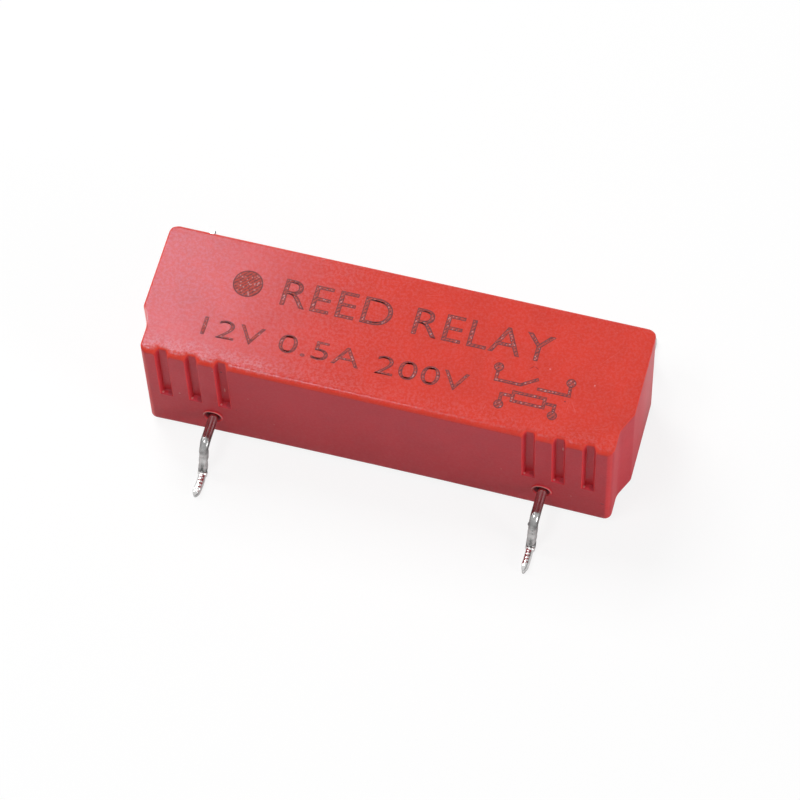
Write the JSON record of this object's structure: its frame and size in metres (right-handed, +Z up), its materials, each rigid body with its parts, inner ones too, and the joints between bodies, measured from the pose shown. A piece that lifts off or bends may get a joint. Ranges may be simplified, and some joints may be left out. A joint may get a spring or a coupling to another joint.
{
  "type": "reed relay",
  "caption": "Surface-mount high-voltage reed relay: a red potted case with stepped ends, front grooves and gull-wing leads, holding a coil on a bobbin round a glass reed switch.",
  "frame": {"origin": "centre of the plane that the four feet stand on, below the middle of the case", "axes": "+X along the case, +Y towards the switch terminals, +Z up out of the circuit board"},
  "size_m": [0.0298, 0.0184, 0.0088],
  "materials": {
    "case_plastic": "satin moulded red plastic",
    "potting": "dark epoxy",
    "tinned_wire": "tinned wire with tool marks",
    "bobbin_plastic": "moulded",
    "enamelled_copper": "enamelled fine wire",
    "tape": "polyester tape",
    "solder": "bright solder",
    "glass": "clear green glass",
    "reed_alloy": "nickel-iron strip",
    "weld_metal": "resistance weld"
  },
  "bodies": {
    "relay": {"case": "case_plastic", "potting": "potting", "coil_terminal_left": "tinned_wire", "coil_terminal_right": "tinned_wire", "switch_terminal_left": "tinned_wire", "switch_terminal_right": "tinned_wire", "bobbin": "bobbin_plastic", "winding": "enamelled_copper", "winding_tape": "tape", "coil_start_wire": "enamelled_copper", "coil_finish_wire": "enamelled_copper", "coil_solder_left": "solder", "coil_solder_right": "solder", "glass_capsule": "glass", "reed_lead_left": "reed_alloy", "reed_lead_right": "reed_alloy", "switch_weld_left": "weld_metal", "switch_weld_right": "weld_metal"},
    "left_blade": {"reed_blade_left": "reed_alloy"},
    "right_blade": {"reed_blade_right": "reed_alloy"}
  },
  "joints": [
    {"name": "left_blade_flex", "type": "hinge", "parent": "relay", "child": "left_blade", "pos_m": [-0.0074, 0, 0.00477], "axis": [0, 1, 0], "range_deg": [0, 0.52], "stiffness_Nm_per_rad": 0.04},
    {"name": "right_blade_flex", "type": "hinge", "parent": "relay", "child": "right_blade", "pos_m": [0.0074, 0, 0.00443], "axis": [0, 1, 0], "range_deg": [0, 0.52], "stiffness_Nm_per_rad": 0.04}
  ]
}
